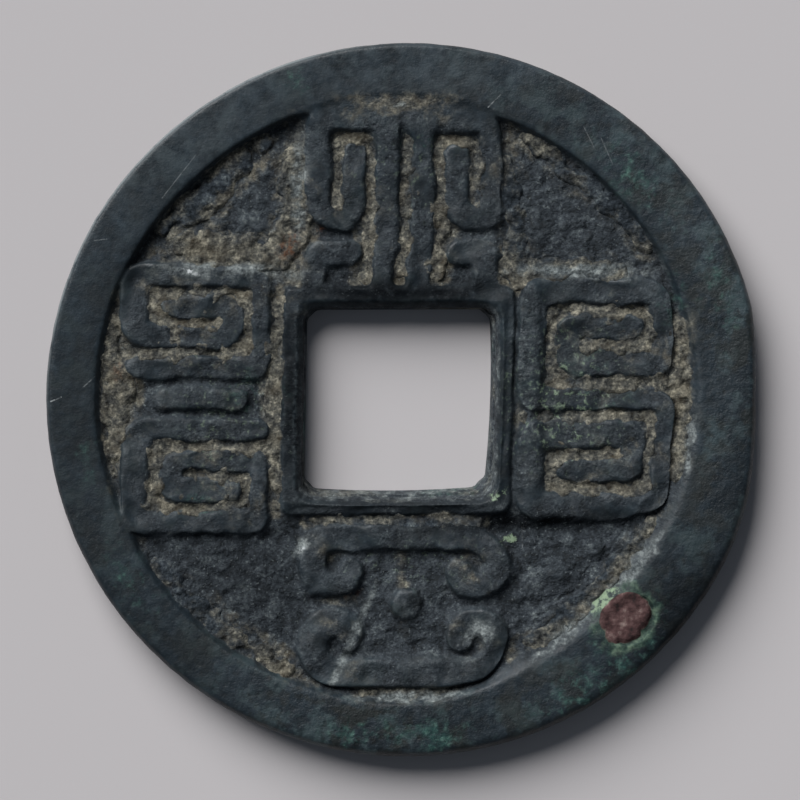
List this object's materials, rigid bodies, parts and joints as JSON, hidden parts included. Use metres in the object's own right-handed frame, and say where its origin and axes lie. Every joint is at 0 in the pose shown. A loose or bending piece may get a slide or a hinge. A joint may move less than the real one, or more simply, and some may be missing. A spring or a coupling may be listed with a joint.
{
  "type": "square-holed cash coin",
  "caption": "Round cast bronze coin with a square stringing hole, raised rims and fret relief on its face, a plain back, and old earth packed in the recesses.",
  "frame": {"origin": "centre of the coin's back, on the plane of the back rim that the coin lies on", "axes": "+Z out of the face through the thickness, +Y towards the fret above the hole, +X towards the fret on its right"},
  "size_m": [0.0246, 0.0246, 0.0014],
  "materials": {
    "patinated_bronze": "cast tin bronze under a blackish green patina, satin on the worn rims",
    "packed_earth": "dried loess, matt and granular",
    "red_oxide": "red copper oxide crust, matt"
  },
  "bodies": {
    "root": {"coin_casting": "patinated_bronze", "earth_above_scroll": "packed_earth", "earth_beside_left_fret": "packed_earth", "earth_corner_upper_left": "packed_earth", "earth_corner_upper_right": "packed_earth", "earth_left_fret_lower": "packed_earth", "earth_left_fret_upper": "packed_earth", "earth_right_fret_lower": "packed_earth", "earth_right_fret_upper": "packed_earth", "earth_rim_bottom": "packed_earth", "earth_rim_left": "packed_earth", "earth_rim_lower_left": "packed_earth", "earth_rim_lower_right": "packed_earth", "earth_rim_right": "packed_earth", "earth_rim_upper_left": "packed_earth", "earth_rim_upper_right": "packed_earth", "earth_top_fret_left": "packed_earth", "earth_top_fret_middle": "packed_earth", "earth_top_fret_right": "packed_earth", "oxide_crust_in_pit": "red_oxide"}
  },
  "joints": []
}
